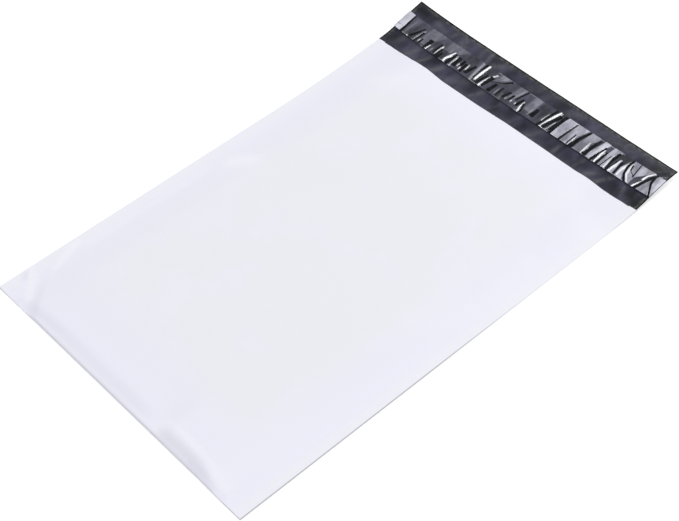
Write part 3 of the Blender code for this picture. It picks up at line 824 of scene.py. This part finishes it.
def front_masks(x, y, rows, inside):
    """Masks of the front panel's outer face, and of the painted shadow line along the fold beside it."""
    # The mouth's dark cut edge, where the inner layer shows, with a painted shadow under it
    edge_and_shadow = (rows > 1.0 - (EDGE_LINE + EDGE_FADE) / 2.0 / BAG_LENGTH) * inside
    # A painted shadow line along the right seal's outer edge
    on_right_edge = BAG_WIDTH - x < (EDGE_LINE + BORDER_LINE) / 2.0
    edge_and_shadow = np.maximum(edge_and_shadow, on_right_edge * smooth((SHADOW_LINE_END - y) / SHADOW_LINE_FADE) * SHADOW_LINE_STRENGTH)
    # A painted shadow line along the bottom fold
    fold_shadow = np.interp(x / BAG_WIDTH, *zip(*FOLD_SHADOW))
    edge_and_shadow[:, :1] = np.maximum(edge_and_shadow[:, :1], fold_shadow)
    middle = smooth((to_side(x) - MIDDLE_FROM_SIDE) / MIDDLE_SIDE_FADE)
    middle = middle * smooth((y - MIDDLE_FROM_FOLD) / MIDDLE_END_FADE)
    middle = middle * smooth((BAG_LENGTH - MIDDLE_FROM_MOUTH - y) / MIDDLE_END_FADE)
    painted_highlight = soft_marks(x, y, BODY_MARKS)
    shaded = soft_marks(x, y, BODY_SHADES)
    return {"cut_edge_and_shadow": edge_and_shadow, "middle": middle, "painted_highlight": painted_highlight, "shaded": shaded}, fold_shadow


def flap_masks(x, s):
    """Masks of the flap's charcoal face."""
    to_edge = np.minimum(FLAP_LENGTH - s, to_side(x))
    return {
        "border": 1.0 - smooth((to_edge - BORDER_LINE) / (BORDER_FADE - BORDER_LINE)),
        "dull_edge": 1.0 - smooth((to_edge - DULL_EDGE) / DULL_FADE),
        "painted_highlight": soft_marks(x, s, FLAP_MARKS),
        "shaded": soft_marks(x, s, FLAP_SHADES),
    }


def after_zeros(count, masks):
    """Masks with a number of rows of zeros put before them."""
    return {name: np.concatenate([np.zeros((len(one), count)), one], axis=1) for name, one in masks.items()}


def make_film():
    skin = Skin(("seal", "middle", "cut_edge_and_shadow", "border", "dull_edge", "painted_highlight", "shaded"))
    places, first, last = film_columns()
    x = places[:, None]
    rows = body_rows()
    inside = to_side(x) > SEAL_WIDTH * (1.0 - 1e-3)
    gap_at_fold = np.maximum(pocket_gap(x, 0.0) * corner_press(x, 0.0), LEAST_GAP * inside)
    inner_radius = gap_at_fold / 2.0
    radius = FILM + inner_radius

    back_y = radius + rows * (BAG_LENGTH - radius)
    underside = column(x, back_y, floor_height(x, back_y))
    inner_back = column(x, back_y, floor_height(x, back_y) + FILM)

    setback = np.interp(x / BAG_WIDTH, *zip(*MOUTH_LINE)) * MM
    front_y = radius + rows * (BAG_LENGTH - setback - radius)
    relief = front_relief(x, front_y) * smooth((to_side(x) - SEAL_WIDTH) / RELIEF_RAMP)
    gap = pocket_gap(x, front_y) * corner_press(x, front_y) + relief * smooth(rows / RELIEF_START)
    lift = np.where(inside, np.maximum(gap, LEAST_GAP), 0.0)
    top = column(x, front_y, floor_height(x, front_y) + 2.0 * FILM + lift)
    under_front = column(x, front_y, floor_height(x, front_y) + FILM + lift)

    turns = (np.pi * np.arange(1, FOLD_STEPS) / FOLD_STEPS)[None, :]
    middle_z = floor_height(x, 0.0) + radius
    fold = column(x, radius - radius * np.sin(turns), middle_z - radius * np.cos(turns))
    inner_fold = column(x, radius - inner_radius * np.sin(turns), middle_z - inner_radius * np.cos(turns))

    flap_x = np.broadcast_to(x, (len(places), FLAP_ROWS))
    flap_s = np.broadcast_to(flap_rows(), flap_x.shape)
    relief = flap_relief(flap_x, flap_s)
    flap_under = flap_points(flap_x, flap_s, relief)
    flap_top = flap_points(flap_x, flap_s, relief + FILM)

    before_fold = FLAP_ROWS + BODY_ROWS + 1
    before_top = before_fold + FOLD_STEPS - 1
    masks, fold_shadow = front_masks(x, front_y, rows, inside)
    masks = after_zeros(before_top, masks)
    masks["cut_edge_and_shadow"][:, before_fold:before_top] = fold_shadow
    masks["seal"] = 1.0 - smooth((to_side(x) - SEAL_WIDTH) / SEAL_FADE)
    outer = skin.add(np.concatenate([flap_under[:, ::-1], underside[:, ::-1], fold, top], axis=1), **masks)
    masks = after_zeros(BODY_ROWS + 1, flap_masks(flap_x, flap_s))
    back = skin.add(np.concatenate([inner_back, flap_top], axis=1), **masks)
    front = skin.add(np.concatenate([inner_back[:, :1], inner_fold, under_front], axis=1))
    front[:, 0] = back[:, 0]
    for seam in (first, last):
        front[seam, :FOLD_STEPS] = back[seam, 0]
        front[seam, FOLD_STEPS:] = back[seam, : BODY_ROWS + 1]

    skin.sheet(outer, upwards=True)
    skin.sheet(back[:, BODY_ROWS:], upwards=True, slot=1, marks=masks["border"][:, BODY_ROWS:])
    skin.sheet(back[first : last + 1, : BODY_ROWS + 1], upwards=True, slot=1)
    skin.sheet(front[first : last + 1], upwards=False, slot=1)
    rim = back[:, BODY_ROWS].copy()
    rim[first : last + 1] = front[first : last + 1, -1]
    skin.sheet(np.stack([rim, outer[:, -1]], 1), upwards=False, slot=1)
    skin.sheet(np.stack([outer[:, 0], back[:, -1]], 1), upwards=False, slot=1)
    for side, up in ((0, True), (-1, False)):
        close_side(skin, outer[side], back[side], up)
    materials = (white_film_material(), charcoal_film_material(), charcoal_rim_material())
    return skin.finish("film_web", materials, "root", "bag_film")


def close_side(skin, line, inner, up):
    """The film's cut edge at one side: along the flap, the fused panels, the fold, and the flap's root."""
    skin.sheet(np.stack([line[: FLAP_ROWS + 1], inner[BODY_ROWS:][::-1]]), upwards=not up)
    under = line[FLAP_ROWS : FLAP_ROWS + BODY_ROWS + 1]
    over = line[-1 : -BODY_ROWS - 2 : -1]
    skin.sheet(np.stack([under, over]), upwards=not up)
    fan = line[FLAP_ROWS + BODY_ROWS : FLAP_ROWS + BODY_ROWS + FOLD_STEPS + 1]
    skin.turned(np.array([[fan[0], fan[k], fan[k + 1]] for k in range(1, len(fan) - 1)]), up)
    skin.turned(np.array([[under[0], over[0], inner[BODY_ROWS]]]), up)


def line_at(line, t):
    """x of a line of (x, t) points at each t."""
    return np.interp(t, [p[1] for p in line], [p[0] for p in line])


def along_line(line, t):
    """1 between the ends of a line, fading to 0 just past them."""
    return between(t, line[0][1], line[-1][1], END_FADE, 1.0)


def pale_edge(x, from_edge, stretches, depth):
    """0 to 1: the painted highlight where one of the liner's edges curls up, all in mm."""
    pale = np.zeros(x.shape)
    for low, high, paleness in stretches:
        pale = np.maximum(pale, paleness * between(x, low, high, PALE_END, 0.5))
    return pale * (1.0 - smooth((from_edge - depth) / PALE_EDGE_WIDTH))


def liner_patches(x, t):
    """Lift in mm and paleness where the liner stands off the adhesive in patches."""
    lift = np.zeros(x.shape)
    pale = np.zeros(x.shape)
    for left, right, paleness, height in PATCHES:
        feather = FAINT_FEATHER if paleness < FAINT_BELOW else CLEAR_FEATHER
        inside = between(x, line_at(left, t), line_at(right, t), feather, PATCH_REACH) * along_line(left, t)
        lift = np.maximum(lift, height * inside)
        pale = np.maximum(pale, paleness * inside)
    return lift, pale


def liner_folds(x, t):
    """Height in mm of the liner's folds, and the strength of the painted highlight strokes on them."""
    folds = np.zeros(x.shape)
    painted_glints = np.zeros(x.shape)
    for line, height, left_width, right_width in FOLDS:
        away = x - line_at(line, t)
        present = along_line(line, t)
        low, high = line[0][1], line[-1][1]
        belly = np.clip(1.0 - (2.0 * (t - low) / (high - low) - 1.0) ** 2, 0.0, 1.0)
        half = STROKE_WIDTH * right_width + STROKE_LEAST
        half = half * (STROKE_END_WIDTH + (1.0 - STROKE_END_WIDTH) * belly)
        strip = np.abs(away - STROKE_MIDDLE * right_width) / half
        bright = min(1.0, height / STROKE_FULL_HEIGHT) ** STROKE_POWER
        bright = bright * (1.0 - smooth((strip - STROKE_CORE) / STROKE_FADE))
        painted_glints = np.maximum(painted_glints, bright * present)
        side = 1.0 - np.abs(away) / (FOLD_SPREAD * np.where(away < 0.0, left_width, right_width))
        folds = np.maximum(folds, min(height, FOLD_STEEPNESS * right_width) * smooth(side) * present)
    return folds, painted_glints


def liner_grooves(x, t):
    """0 to 1: how closely the liner clings to the adhesive."""
    clinging = np.zeros(x.shape)
    for line, low_width, high_width in GROOVES:
        width = GROOVE_SPREAD * np.interp(t, (line[0][1], line[-1][1]), (low_width, high_width))
        near = 1.0 - smooth((np.abs(x - line_at(line, t)) / width - GROOVE_CORE) / GROOVE_FADE)
        clinging = np.maximum(clinging, near * along_line(line, t))
    return clinging


def liner_shape(x, t):
    """Height of the liner over its flat lie in mm, and its paleness (with painted highlights along its edges),
    cling and painted highlight strokes, each from 0 to 1.
    """
    lift, pale = liner_patches(x, t)
    pale = np.maximum(pale, pale_edge(x, t, PALE_EDGE, PALE_EDGE_DEPTH))
    pale = np.maximum(pale, pale_edge(x, LINER_WIDTH / MM - t, PALE_TOP, PALE_TOP_DEPTH))
    folds, painted_glints = liner_folds(x, t)
    clinging = liner_grooves(x, t)
    free = 1.0 - clinging
    return (lift + folds) * free - CONTACT_DEPTH * clinging, pale * free, clinging, painted_glints * free


def lay_strip(skin, x, s, offset, thickness, blackness=None, **masks):
    """A strip of one thickness along the flap, at an offset from the film's underside."""
    offset = offset + flap_relief(x, s)
    lower = skin.add(flap_points(x, s, offset), **masks)
    upper = skin.add(flap_points(x, s, offset + thickness), **masks)
    skin.slab(lower, upper, marks=blackness)


def make_liner():
    skin = Skin(("dry", "clinging", "stroke"))
    x = np.linspace(0.0, BAG_WIDTH, LINER_COLUMNS + 1)[:, None]
    share = np.linspace(0.0, 1.0, LINER_ROWS + 1)[None, :]
    x = x + LINER_LEAN * LINER_WIDTH * (share - 0.5) * between(x, 0.0, BAG_WIDTH, LEAN_FADE)
    s = np.broadcast_to(LINER_START + LINER_WIDTH * share, x.shape)
    rise, dry, clinging, stroke = liner_shape(x / MM, s / MM - LINER_START / MM)
    offset = FILM + 2.0 * LAYER_CLEARANCE + ADHESIVE_THICKNESS + rise * MM
    masks = {"dry": dry, "clinging": clinging, "stroke": stroke}
    lay_strip(skin, x, s, offset, LINER_THICKNESS, smooth(BLACK_GAIN * clinging), **masks)
    materials = (liner_material(), clinging_liner_material())
    return skin.finish("puckered_liner", materials, "root", "release_liner")


def make_adhesive():
    skin = Skin(())
    x = np.linspace(LEFT_TAB, BAG_WIDTH - RIGHT_TAB, ADHESIVE_COLUMNS + 1)[:, None]
    share = np.linspace(0.0, 1.0, ADHESIVE_ROWS + 1)[None, :]
    x, s = np.broadcast_arrays(x, LINER_START + ADHESIVE_WIDTH * share)
    lay_strip(skin, x, s, FILM + LAYER_CLEARANCE, ADHESIVE_THICKNESS)
    return skin.finish("adhesive_band", (adhesive_material(),), "root", "adhesive_strip")


def make_camera():
    azimuth, elevation, roll = (math.radians(a) for a in (CAMERA_AZIMUTH, CAMERA_ELEVATION, CAMERA_ROLL))
    flat = math.cos(elevation)
    forward = Vector((-math.sin(azimuth) * flat, math.cos(azimuth) * flat, -math.sin(elevation)))
    level = forward.cross(Vector((0.0, 0.0, 1.0))).normalized()
    rise = level.cross(forward)
    right = level * math.cos(roll) + rise * math.sin(roll)
    up = rise * math.cos(roll) - level * math.sin(roll)
    data = bpy.data.cameras.new("camera")
    data.sensor_fit = "HORIZONTAL"
    data.sensor_width = SENSOR_MM
    data.lens = FOCAL_PIXELS / PHOTO_WIDTH * SENSOR_MM
    data.clip_start = 0.01
    camera = bpy.data.objects.new("camera", data)
    place = Vector(CAMERA_TARGET) - forward * CAMERA_DISTANCE
    turn = Matrix((right, up, -forward)).transposed().to_4x4()
    camera.matrix_world = Matrix.Translation(place) @ turn
    bpy.context.scene.collection.objects.link(camera)
    bpy.context.scene.camera = camera


def add_lamp(name, direction, size, watts):
    data = bpy.data.lights.new(name, "AREA")
    data.shape = "RECTANGLE"
    data.size, data.size_y = size
    data.energy = watts
    light = bpy.data.objects.new(name, data)
    towards = Vector(direction).normalized()
    side = (Vector((1.0, 0.0, 0.0)) - towards * towards.x).normalized()
    turn = Matrix((side, towards.cross(side), towards)).transposed().to_4x4()
    light.matrix_world = Matrix.Translation(towards * LAMP_DISTANCE) @ turn
    bpy.context.scene.collection.objects.link(light)


def seen_directly(net):
    """1 for camera, glossy and transmission rays, and 0 for the rays that light the object."""
    path = net.nodes.new("ShaderNodeLightPath").outputs
    seen = net.combine("MAXIMUM", path["Is Camera Ray"], path["Is Glossy Ray"])
    return net.combine("MAXIMUM", seen, path["Is Transmission Ray"])


def make_floor():
    data = bpy.data.meshes.new("floor")
    corners = [(x * FLOOR_HALF, y * FLOOR_HALF, 0.0) for x, y in ((-1, -1), (1, -1), (1, 1), (-1, 1))]
    data.from_pydata(corners, [], [(0, 1, 2, 3)])
    floor = bpy.data.objects.new("floor", data)
    floor.location.z = -FLOOR_DROP
    made, net, shader = material("floor", specular=0.0, roughness=0.9)
    shader.inputs["Base Color"].default_value = (FLOOR_GREY, FLOOR_GREY, FLOOR_GREY, 1.0)
    shader.inputs["Emission Color"].default_value = (1.0, 1.0, 1.0, 1.0)
    net.link(net.ramp(seen_directly(net), 0.0, 1.0, 0.0, FLOOR_GLOW), shader, "Emission Strength")
    data.materials.append(made)
    bpy.context.scene.collection.objects.link(floor)


def make_world():
    world = bpy.data.worlds.new("studio")
    net = Net(world)
    background = net.nodes["Background"]
    background.inputs["Color"].default_value = (1.0, 1.0, 1.0, 1.0)
    net.link(net.ramp(seen_directly(net), 0.0, 1.0, WORLD_LIGHT, 1.0), background, "Strength")
    bpy.context.scene.world = world


def main():
    bpy.context.scene.view_settings.view_transform = "Standard"
    make_camera()
    make_world()
    make_floor()
    for name, lamp in LAMPS.items():
        add_lamp(name, *lamp)
    make_film()
    make_adhesive()
    make_liner()


main()
